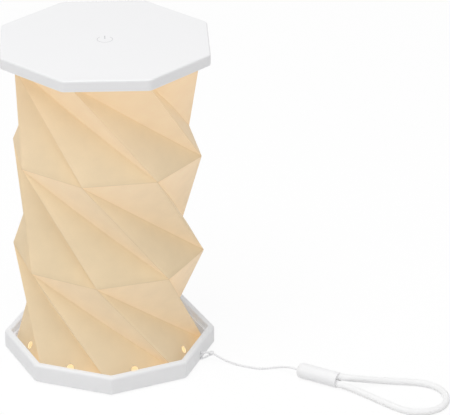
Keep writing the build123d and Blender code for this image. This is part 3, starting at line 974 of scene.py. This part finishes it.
@dataclass
class HandStrap:
    """The string through the tray's edge, its knot, the sleeve and the loop of thick cord.

    The eye and the knot are given in millimetres out, along and up from the tray's strap side, and the routes
    in millimetres in the lamp's own frame.
    """

    side: float = 67.5
    tray_out: float = 52.65
    string_d: float = 1.2 * MM
    string_plies: int = 2
    string_pitch: float = 2.9 * MM
    string_groove: float = 0.17
    string_step: float = 0.12 * MM
    loop_d: float = 3.7 * MM
    loop_carriers: int = 8
    loop_pitch: float = 13.6 * MM
    loop_groove: float = 0.07
    loop_step: float = 0.3 * MM
    sleeve_r: float = 4.25 * MM
    sleeve_bore: float = 3.75 * MM
    sleeve_length: float = 23.7 * MM
    sleeve_edge: float = 0.35 * MM
    sleeve_rings: int = 12
    sleeve_waist: float = 0.018
    sleeve_ripple: float = 0.008
    sleeve_start: tuple[float, float, float] = (0.1001, -0.0398, 0.00425)
    sleeve_axis: tuple[float, float, float] = (0.848, -0.53, 0.0)
    eye: tuple[tuple[float, float, float], ...] = (
        (57.55, 2.9, 4.85), (53.85, 0.3, 4.9), (50.69, 0.0, 4.9), (50.69, 0.0, 1.35),
        (53.85, 0.3, 1.35), (57.55, 2.9, 3.55))
    knot_place: tuple[float, float, float] = (57.55, 2.9, 4.2)
    knot_size: float = 0.352 * MM
    knot_strand: float = 0.58 * MM
    string_route: tuple[tuple[float, float, float], ...] = (
        (60.6, -22.8, 1.9), (67.4, -26.3, 0.6), (74.4, -29.5, 0.6), (80.4, -31.7, 0.6), (87.0, -31.0, 0.9),
        (92.6, -33.2, 2.5), (96.3, -37.4, 4.25), (100.1, -39.8, 4.25))
    loop_route: tuple[tuple[float, float, float], ...] = (
        (113.9, -47.3, 5.87), (121.6, -52.1, 5.8), (132.0, -51.6, 4.3), (143.5, -50.9, 2.6),
        (155.0, -51.2, 1.85), (165.0, -53.0, 1.85), (172.3, -57.6, 1.85), (176.0, -65.5, 1.85),
        (175.6, -74.6, 1.85), (170.4, -81.6, 1.85), (162.0, -84.4, 1.85), (153.2, -82.8, 1.85),
        (144.9, -75.4, 1.85), (136.2, -66.5, 1.85), (127.6, -58.3, 2.1), (119.9, -53.2, 2.63),
        (112.9, -48.9, 2.63))

    def on_side(self, out: float, along: float, z: float) -> Vector:
        """The point that lies so many millimetres out from the axis, along the strap side, and up."""
        normal = polar(1.0, self.side)
        return Vector((normal.x * out - normal.y * along, normal.y * out + normal.x * along, z)) * MM

    def build(self) -> list[bpy.types.Object]:
        """Builds the strap.

        Returns:
            Its pieces.
        """
        eye, knot, sleeve = self.string_eye(), self.knot(), self.sleeve()
        string = self.string([eye, knot, sleeve])
        loop = self.loop([sleeve])
        for part, slot in ((eye, "strap_string"), (knot, "strap_string"), (string, "strap_string"),
                           (sleeve, "strap_sleeve"), (loop, "strap_cord")):
            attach(part, BASE)
        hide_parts("strap_hitch", "strap_string")
        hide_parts("strap_sleeve")
        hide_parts("strap_loop")
        return [eye, knot, string, sleeve, loop]

    def string(self, companions: list[bpy.types.Object]) -> bpy.types.Object:
        """The string from the tray's side hole, through the knot, to the sleeve.

        Args:
            companions: The pieces that are on the string; not used.

        Returns:
            The string.
        """
        through = [self.on_side(*self.eye[place]) for place in (2, 1, 0)]
        route = [*through, *(Vector(point) * MM for point in self.string_route)]
        line = spaced(cord_line("string_line", route), self.string_step)
        made = self.strand("strap_string_laid", line, self.string_d / 2)
        return made

    def strand(self, name: str, line: Sequence[Vector], radius: float, sides: int = 12) -> bpy.types.Object:
        """A laid-up string along a line.

        Args:
            name: The piece's name.
            line: Its stations.
            radius: Its radius in metres.
            sides: How many sides it has.

        Returns:
            The string.
        """
        surface = twisted(radius, self.string_plies, self.string_pitch, self.string_groove)
        return piece(name, tube_mesh(line, sides, surface), STRING_THREAD.material())

    def string_eye(self) -> bpy.types.Object:
        """The eye's other strand, in at the hole, out under the edge and back to the knot.

        Returns:
            The strand.
        """
        route = [self.on_side(*point) for point in self.eye[2:]]
        line = spaced(cord_line("eye_line", route), self.string_step)
        return self.strand("strap_string_eye", line, self.string_d / 2)

    def knot(self, stations: int = 96) -> bpy.types.Object:
        """The small overhand knot that closes the eye: a trefoil, turned along the string.

        Args:
            stations: How many stations its strand has.

        Returns:
            The knot.
        """
        centre = self.on_side(*self.knot_place)
        away = (Vector(self.string_route[0]) * MM - centre).normalized()
        turned = away.to_track_quat("Z", "Y").to_matrix()
        line = []
        for place in range(stations + 1):
            turn = 2 * math.pi * place / stations
            local = Vector((math.sin(turn) + 2 * math.sin(2 * turn), math.cos(turn) - 2 * math.cos(2 * turn),
                            -1.6 * math.sin(3 * turn)))
            line.append(centre + turned @ (local * self.knot_size))
        return self.strand("strap_knot", line, self.knot_strand, sides=10)

    def sleeve(self) -> bpy.types.Object:
        """The soft sleeve over the loop's ends, closed and round towards the string.

        Returns:
            The sleeve.
        """
        mesh = bmesh.new()
        wall, edge, rings, end = self.sleeve_r, self.sleeve_edge, self.sleeve_rings, self.sleeve_length
        # The profile runs out from the closed end's middle, along the outside, and in over the open end.
        profile = [(0.0, 0.0), (wall - 1.9 * MM, 0.0), (wall - 0.8 * MM, 0.35 * MM),
                   (wall - 0.12 * MM, 1.5 * MM)]
        for place in range(rings + 1):
            far = 3.0 * MM + (end - 4.2 * MM) * place / rings
            waist = self.sleeve_waist * math.sin(math.pi * place / rings)
            ripple = self.sleeve_ripple * math.sin(place * 1.9)
            profile.append((wall * (1.0 - waist + ripple), far))
        profile += [(wall * 0.985, end - edge), (wall - edge / 2, end),
                    (self.sleeve_bore - edge, end - edge / 3),
                    (self.sleeve_bore - 2 * edge, end - 2 * edge), (0.0, end - 3 * edge)]
        verts = [mesh.verts.new((radius, 0.0, far)) for radius, far in profile]
        edges = [mesh.edges.new(pair) for pair in zip(verts, verts[1:])]
        bmesh.ops.spin(mesh, geom=[*verts, *edges], cent=(0, 0, 0), axis=(0, 0, 1), angle=2 * math.pi,
                       steps=48, use_merge=True)
        bmesh.ops.remove_doubles(mesh, verts=mesh.verts, dist=MERGE)
        bmesh.ops.recalc_face_normals(mesh, faces=mesh.faces)
        turned = Vector(self.sleeve_axis).to_track_quat("Z", "Y").to_matrix().to_4x4()
        place = Matrix.Translation(self.sleeve_start) @ turned
        bmesh.ops.transform(mesh, matrix=place, verts=mesh.verts)
        made = piece("strap_sleeve_moulded", mesh, SLEEVE_SKIN.material())
        finer = made.modifiers.new("rounding", "SUBSURF")
        finer.levels = finer.render_levels = 1
        settled(made)
        return made

    def loop(self, companions: list[bpy.types.Object]) -> bpy.types.Object:
        """The loop of plaited cord, both of whose ends are in the sleeve.

        Args:
            companions: The pieces that are on the cord; not used.

        Returns:
            The loop.
        """
        route = [Vector(point) * MM for point in self.loop_route]
        line = spaced(cord_line("loop_line", route), self.loop_step)
        surface = plaited(self.loop_d / 2, self.loop_carriers, self.loop_pitch, self.loop_groove)
        made = piece("strap_loop_plaited", tube_mesh(line, 48, surface), LOOP_THREAD.material())
        return made


# ---------------------------------------------------------------- creased shade


@dataclass
class Panel:
    """One flat three-cornered panel between creases. The first two corners are the ends of its valley."""

    upper: Vector
    lower: Vector
    apex: Vector
    storey: int
    hangs: bool
    middle: Vector = field(init=False)
    normal: Vector = field(init=False)
    inverse: Matrix = field(init=False)

    def __post_init__(self) -> None:
        """Works out the middle, the outward normal, and the matrix that gives a point's shares."""
        self.normal = (self.lower - self.upper).cross(self.apex - self.upper).normalized()
        self.middle = (self.upper + self.lower + self.apex) / 3
        if self.normal.dot(Vector((self.middle.x, self.middle.y, 0.0))) < 0:
            self.normal.negate()
        corners = Matrix((self.lower - self.upper, self.apex - self.upper, self.normal)).transposed()
        self.inverse = corners.inverted()

    def shares(self, point: Vector) -> tuple[float, float, float]:
        """How much of each corner a point holds: upper and lower end of the valley, and apex."""
        along, up, _ = self.inverse @ (point - self.upper)
        return 1.0 - along - up, along, up

    def flat(self, point: Vector) -> tuple[float, float]:
        """A point's place on the panel in metres, along its level edge and up it."""
        level = Vector((-self.normal.y, self.normal.x, 0.0)).normalized()
        return (point - self.upper).dot(level), (point - self.upper).dot(self.normal.cross(level))


@dataclass(frozen=True)
class PanelGlow:
    """How a kind of panel glows: its level and warmth, and how they change over it.

    The level gains with the height above lamp_from and up the valley, and loses towards the apex and, as
    painted shade from the overhanging panel, along the valley. The warmth fades away from the valley,
    gains at the valley's two ends, near the lamp and at the foot, and is held back all over by cool.
    """

    level: float
    lamp: float
    rise: float
    apex: float
    valley_shade: float
    warm: float
    cool: float
    ends: float
    lamp_from: float = 0.45
    valley_shade_reach: float = 0.28
    warm_reach: float = 0.3
    ends_reach: float = 0.08
    ends_from: float = 0.2
    top_warm: float = 1.4
    top_from: float = 0.7
    foot_warm: float = 0.9
    foot_reach: float = 0.14

    def at(self, height: float, storeys: int, top: float, foot: float, apex: float) -> tuple[float, float]:
        """How brightly and how warmly a point glows.

        Args:
            height: Its height as a share of the whole shade.
            storeys: How many storeys the shade has.
            top: Its share of the valley's upper end.
            foot: Its share of the valley's lower end.
            apex: Its share of the corner away from the valley.

        Returns:
            The brightness and the warmth, each from 0 to 1.
        """
        climb = 0.5 - foot / max(1e-6, top + foot)
        level = self.level + self.lamp * max(0.0, height - self.lamp_from) + self.rise * climb
        # Painted shade along the valley, under the overhanging panel.
        level -= self.apex * apex + self.valley_shade * math.exp(-apex / self.valley_shade_reach)
        warm = self.warm * math.exp(-apex / self.warm_reach) - self.cool
        warm += self.ends * math.exp(-apex / self.ends_reach) * max(0.0, abs(top - foot) - self.ends_from)
        warm += self.top_warm * max(0.0, height - self.top_from)
        warm += self.foot_warm * foot * math.exp(-height * storeys / self.foot_reach)
        return min(1.0, max(0.0, level)), min(1.0, max(0.0, warm))


# Only the standing panels, under the overhang, get painted shade along their valleys.
HANGING = PanelGlow(level=0.64, lamp=0.8, rise=0.18, apex=0.12, valley_shade=0.0, warm=0.33, cool=0.05, ends=0.25)
STANDING = PanelGlow(level=0.27, lamp=0.66, rise=0.12, apex=0.0, valley_shade=0.20, warm=0.50, cool=0.07, ends=0.0)


@dataclass
class CreasedShade:
    """The twisted sheet: bowed panels between sharp ridges and soft valleys, glowing from inside."""

    sides: int = 8
    storeys: int = 3
    ring_r: float = 51.4 * MM
    top_ring_r: float = 52.6 * MM
    storey_h: float = 58.07 * MM
    twist: float = 52.5
    foot_z: float = 2.2 * MM
    sheet_t: float = 0.4 * MM
    flange_r: float = 40.99 * MM
    flange_glow: float = 0.3
    crease_w: float = 0.22 * MM
    valley_mark: float = 0.35
    valley_within: float = 0.75
    cuts: int = 23
    cut_over: float = 10 * MM
    bow: float = 0.9 * MM
    valley_lift: float = 1.3 * MM
    valley_reach: float = 0.30
    sharp: float = 50.0
    vent_d: float = 4.0 * MM
    vent_rise: float = 5.5 * MM
    vent_drill: float = 6.0 * MM
    notch_place: tuple[float, float, float] = (0.0, 0.0500, 0.1775)
    notch_size: tuple[float, float, float] = (0.0094, 0.0080, 0.0043)
    foot_cut: float = 4.9 * MM
    collar_cut: float = 171.7 * MM
    keep_folded: float = 0.02428
    panels: list[Panel] = field(default_factory=list)

    def build(self) -> list[bpy.types.Object]:
        """Builds the shade and cuts it into its clamped foot, its storeys and its collar.

        Returns:
            Its foot, its storeys and its collar under the head.
        """
        mesh = self.creased_rings()
        self.refine(mesh)
        self.shape(mesh)
        self.flanges(mesh)
        made = piece("whole_shade", mesh, ShadeFinish().material(), LiningFinish().material())
        wall = made.modifiers.new("wall", "SOLIDIFY")
        wall.thickness, wall.offset, wall.material_offset, wall.material_offset_rim = self.sheet_t, -1.0, 1, 0
        settled(made)
        self.pierce(made)
        beyond = self.foot_z + self.storey_h * (self.storeys + 1)
        foot = self.between(made, "creased_shade_foot", -beyond, self.foot_cut)
        storeys = self.between(made, "creased_shade", self.foot_cut, self.collar_cut)
        collar = self.between(made, "creased_shade_collar", self.collar_cut, beyond)
        remove(made)
        for part, body in ((foot, BASE), (storeys, BASE), (collar, HEAD)):
            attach(part, body)
        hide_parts(SHADE)
        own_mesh(storeys)
        return [foot, storeys, collar]

    def between(self, whole: bpy.types.Object, name: str, low: float, high: float) -> bpy.types.Object:
        """The part of the sheet between two heights, closed where it is cut.

        Args:
            whole: The whole sheet.
            name: The new piece's name.
            low: Where it starts, in metres.
            high: Where it ends, in metres.

        Returns:
            The new piece.
        """
        mesh = bmesh.new()
        mesh.from_mesh(whole.data)
        for level, way in ((low, -1.0), (high, 1.0)):
            cut = bmesh.ops.bisect_plane(mesh, geom=[*mesh.verts, *mesh.edges, *mesh.faces], dist=MERGE,
                                         plane_co=(0.0, 0.0, level), plane_no=(0.0, 0.0, way),
                                         clear_outer=True)["geom_cut"]
            edges = [item for item in cut if isinstance(item, bmesh.types.BMEdge)]
            if edges:
                bmesh.ops.triangle_fill(mesh, use_beauty=True, edges=edges, normal=(0.0, 0.0, way))
        made = piece(name, mesh, *whole.data.materials)
        made.data.set_sharp_from_angle(angle=math.radians(self.sharp))
        return made

    def corner(self, ring: int, place: float) -> Vector:
        """A corner of one of the rings.

        Args:
            ring: The ring, counted from the foot up.
            place: The corner's place round it.

        Returns:
            The corner.
        """
        radius = self.top_ring_r if ring == self.storeys else self.ring_r
        angle = 360.0 / self.sides * place - self.twist * ring
        return polar(radius, angle, self.foot_z + self.storey_h * ring)

    def creased_rings(self) -> bmesh.types.BMesh:
        """Extrudes the foot's ring storey by storey, each turned against the last, and adds the valleys.

        Returns:
            The rings' mesh, whose faces are numbered with their panels.
        """
        mesh = bmesh.new()
        number = mesh.faces.layers.int.new("panel")
        bmesh.ops.create_circle(mesh, segments=self.sides, radius=self.ring_r,
                                matrix=Matrix.Translation((0.0, 0.0, self.foot_z)))
        edges = list(mesh.edges)
        for _ in range(self.storeys):
            new = bmesh.ops.extrude_edge_only(mesh, edges=edges)["geom"]
            edges = [item for item in new if isinstance(item, bmesh.types.BMEdge)]
            verts = [item for item in new if isinstance(item, bmesh.types.BMVert)]
            turned = Matrix.Rotation(math.radians(-self.twist), 4, "Z")
            lifted = Matrix.Translation((0.0, 0.0, self.storey_h)) @ turned
            bmesh.ops.transform(mesh, matrix=lifted, verts=verts)
        spread = self.top_ring_r / self.ring_r
        bmesh.ops.scale(mesh, vec=(spread, spread, 1.0), verts=verts)
        mesh.verts.ensure_lookup_table()
        for storey in range(self.storeys):
            for place in range(self.sides):
                upper, lower = self.corner(storey + 1, place), self.corner(storey, place + 1)
                self.join(mesh, upper, lower)
                for ring, apex, hangs in ((storey, place, False), (storey + 1, place + 1, True)):
                    self.panels.append(Panel(upper, lower, self.corner(ring, apex), storey, hangs))
        for face in mesh.faces:
            middle = face.calc_center_median()
            found = min(range(len(self.panels)), key=lambda n: (self.panels[n].middle - middle).length)
            face[number] = found + 1
            if face.normal.dot(self.panels[found].normal) < 0:
                face.normal_flip()
        return mesh

    @staticmethod
    def join(mesh: bmesh.types.BMesh, first: Vector, second: Vector) -> None:
        """Splits a four-cornered face along the line between two of its corners."""
        ends = [min(mesh.verts, key=lambda vert: (vert.co - want).length) for want in (first, second)]
        bmesh.ops.connect_verts(mesh, verts=ends)

    def refine(self, mesh: bmesh.types.BMesh) -> None:
        """Gives every crease a narrow strip of its own, and cuts the panels into small faces.

        Args:
            mesh: The rings' mesh.
        """
        number = mesh.faces.layers.int["panel"]
        crease = mesh.faces.layers.float.new("crease")
        inner = [edge for edge in mesh.edges if len(edge.link_faces) == 2]
        strips = bmesh.ops.bevel(mesh, geom=inner, offset=self.crease_w, offset_type="OFFSET", segments=1,
                                 profile=0.5, affect="EDGES", material=-1, clamp_overlap=True)["faces"]
        for face in strips:
            face[crease] = self.ridge(face)
            face[number] = 0
        long = [edge for edge in mesh.edges if edge.calc_length() > self.cut_over]
        bmesh.ops.subdivide_edges(mesh, edges=long, cuts=self.cuts, use_grid_fill=True)

    def ridge(self, strip: bmesh.types.BMFace) -> float:
        """How strongly a crease's strip is marked.

        Args:
            strip: One of the strip's faces.

        Returns:
            1 on ridges and rings, and less in valleys.
        """
        middle = strip.calc_center_median()
        out = math.hypot(middle.x, middle.y) / self.ring_r
        return self.valley_mark if out < self.valley_within else 1.0

    def shape(self, mesh: bmesh.types.BMesh) -> None:
        """Bows the panels, lifts the valleys, and writes the painted light and the cloth's own coordinates.

        Args:
            mesh: The refined mesh.
        """
        number = mesh.faces.layers.int["panel"]
        glow = mesh.verts.layers.float.new("glow")
        warmth = mesh.verts.layers.float.new("warmth")
        uv = mesh.loops.layers.uv.new("UVMap")
        home: dict[bmesh.types.BMVert, Panel] = {}
        for face in mesh.faces:
            if face[number]:
                for vert in face.verts:
                    home.setdefault(vert, self.panels[face[number] - 1])
        for face in mesh.faces:
            owner = self.panels[face[number] - 1] if face[number] else None
            for loop in face.loops:
                loop[uv].uv = (owner or home.get(loop.vert) or self.panels[0]).flat(loop.vert.co)
        for vert, panel in home.items():
            top, foot, apex = (max(0.0, share) for share in panel.shares(vert.co))
            vert[glow], vert[warmth] = self.light(panel, top, foot, apex)
            radial = Vector((panel.upper.x + panel.lower.x, panel.upper.y + panel.lower.y, 0.0)).normalized()
            near = max(0.0, 1.0 - apex / self.valley_reach) ** 2
            run = foot / max(1e-6, top + foot)
            # 27 abc and 4 r (1 - r) are both 1 in the middle and 0 at the ends.
            vert.co += panel.normal * (self.bow * 27.0 * top * foot * apex)
            vert.co += radial * (self.valley_lift * near * (4.0 * run * (1.0 - run)) ** 1.5)

    def light(self, panel: Panel, top: float, foot: float, apex: float) -> tuple[float, float]:
        """How brightly and how warmly the sheet's painted glow shines at a point.

        The pod hangs under the head and shines down. It meets the panels that hang over on their inner side,
        while the others see it only by reflection, least of all deep in their valley.

        Args:
            panel: The point's panel.
            top: Its share of the valley's upper end.
            foot: Its share of the valley's lower end.
            apex: Its share of the corner away from the valley.

        Returns:
            The brightness and the warmth, each from 0 to 1.
        """
        height = (panel.storey + top + (apex if panel.hangs else 0.0)) / self.storeys
        return (HANGING if panel.hangs else STANDING).at(height, self.storeys, top, foot, apex)

    def flanges(self, mesh: bmesh.types.BMesh) -> None:
        """Turns the sheet's two ends inwards, where the seat plates clamp it.

        Args:
            mesh: The shaped mesh.
        """
        glow = mesh.verts.layers.float["glow"]
        top = self.foot_z + self.storey_h * self.storeys
        for level, radius in ((self.foot_z, self.ring_r), (top, self.top_ring_r)):
            shrink = self.flange_r / (radius * math.cos(math.pi / self.sides))
            rim = [edge for edge in mesh.edges if len(edge.link_faces) == 1
                   and all(abs(vert.co.z - level) < 0.05 * MM for vert in edge.verts)]
            new = bmesh.ops.extrude_edge_only(mesh, edges=rim)["geom"]
            fresh = [item for item in new if isinstance(item, bmesh.types.BMVert)]
            # The turned-in ends get an even painted glow.
            for vert in fresh:
                vert[glow] = self.flange_glow
            bmesh.ops.scale(mesh, vec=(shrink, shrink, 1.0), verts=fresh)

    def pierce(self, made: bpy.types.Object) -> None:
        """Cuts the eight vents at the foot and the notch behind the charging socket.

        Args:
            made: The sheet, with its wall.
        """
        drills = bmesh.new()
        for place in range(self.sides):
            left, right = self.corner(0, place), self.corner(0, place + 1)
            tip = self.corner(1, place)
            middle = (left + right) / 2
            centre = middle + (tip - middle) * (self.vent_rise / self.storey_h)
            normal = (right - left).cross(tip - left).normalized()
            turned = normal.to_track_quat("Z", "Y").to_matrix().to_4x4()
            bmesh.ops.create_cone(drills, cap_ends=True, segments=32, radius1=self.vent_d / 2,
                                  radius2=self.vent_d / 2, depth=self.vent_drill,
                                  matrix=Matrix.Translation(centre) @ turned)
        notch = Matrix.Translation(self.notch_place) @ Matrix.Diagonal((*self.notch_size, 1.0))
        bmesh.ops.create_cube(drills, size=1.0, matrix=notch)
        for face in drills.faces:
            face.material_index = 1
        cutter = piece("vent_drills", drills)
        cut = made.modifiers.new("vents", "BOOLEAN")
        cut.operation, cut.solver, cut.object = "DIFFERENCE", "EXACT", cutter
        settled(made)
        remove(cutter)


# ---------------------------------------------------------------- head


@dataclass
class PowerMark:
    """The thin ring and bar printed over the touch pad, open towards the back."""

    top_z: float = 179.81 * MM
    proud: float = 0.04 * MM
    sunk: float = 0.06 * MM
    ring_r: float = 4.0 * MM
    line_w: float = 0.32 * MM
    gap: float = 40.0
    bar_w: float = 0.4 * MM
    bar_from: float = 0.6 * MM
    bar_to: float = 4.9 * MM
    bar_round: float = 0.45

    def build(self) -> list[bpy.types.Object]:
        """Builds the mark.

        Returns:
            Its ring and its bar.
        """
        parts = [self.ring(), self.bar()]
        for part in parts:
            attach(part, HEAD)
        return parts

    def ring(self) -> bpy.types.Object:
        """A flat line spun round the touch pad's middle, with the gap left at the back.

        Returns:
            The ring.
        """
        mesh = bmesh.new()
        start = math.radians(90.0 + self.gap)
        low, high = self.top_z - self.sunk, self.top_z + self.proud
        corners = [(self.ring_r + out * self.line_w / 2, level) for out, level in
                   ((-1, low), (1, low), (1, high), (-1, high))]
        verts = [mesh.verts.new((r * math.cos(start), r * math.sin(start), z)) for r, z in corners]
        section = mesh.faces.new(verts)
        bmesh.ops.spin(mesh, geom=[*verts, *section.edges, section], cent=(0, 0, 0), axis=(0, 0, 1),
                       angle=math.radians(360.0 - 2 * self.gap), steps=60, use_duplicate=False)
        bmesh.ops.recalc_face_normals(mesh, faces=mesh.faces)
        return piece("power_mark_ring", mesh, MARK_INK.material(), smooth=False)

    def bar(self) -> bpy.types.Object:
        """The short bar that stands in the ring's gap, with its ends rounded.

        Returns:
            The bar.
        """
        mesh = bmesh.new()
        size = (self.bar_w, self.bar_to - self.bar_from, self.sunk + self.proud, 1.0)
        centre = (0.0, (self.bar_to + self.bar_from) / 2, self.top_z + (self.proud - self.sunk) / 2)
        bmesh.ops.create_cube(mesh, size=1.0, matrix=Matrix.Translation(centre) @ Matrix.Diagonal(size))
        upright = [edge for edge in mesh.edges
                   if abs(edge.verts[0].co.z - edge.verts[1].co.z) > self.sunk / 2]
        bmesh.ops.bevel(mesh, geom=upright, offset=self.bar_w * self.bar_round, segments=4, profile=0.5,
                        affect="EDGES", material=-1)
        return piece("power_mark_bar", mesh, BAR_INK.material(), smooth=False)


@dataclass
class CarriedParts:
    """The frame's own hard parts, which keep their shape and get their finishes."""

    left_out: tuple[str, ...] = (SHADE, "strap_hitch", "strap_string", "strap_sleeve", "strap_loop")

    def build(self, frame: dict) -> list[bpy.types.Object]:
        """Gives each carried part the finish of its slot.


        Returns:
            The carried parts.
        """
        dressed = []
        slots = {part["node"]: part["material_slot"] for part in frame["record"]["subparts"]}
        for node, part in frame["nodes"].items():
            if node in self.left_out:
                continue
            finish = SLOT_FINISHES[slots[node]].material()
            part.data.materials.clear()
            part.data.materials.append(finish)
            dressed.append(part)
        return dressed


def main() -> None:
    """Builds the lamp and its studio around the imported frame."""
    logging.basicConfig(level=logging.INFO, format="%(name)s: %(message)s")
    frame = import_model()
    scene = bpy.context.scene
    scene.view_settings.view_transform = "Standard"
    build_effects()
    Viewpoint().build()
    assemblies = {"hand strap": HandStrap(), "creased shade": CreasedShade(), "power mark": PowerMark()}
    for name, assembly in assemblies.items():
        for part in assembly.build():
            LOG.info("%s: %s, %d faces", name, part.name, len(part.data.polygons))
    for part in CarriedParts().build(frame):
        LOG.info("carried part: %s", part.name)
    Studio().build()


if __name__ == "__main__":
    main()
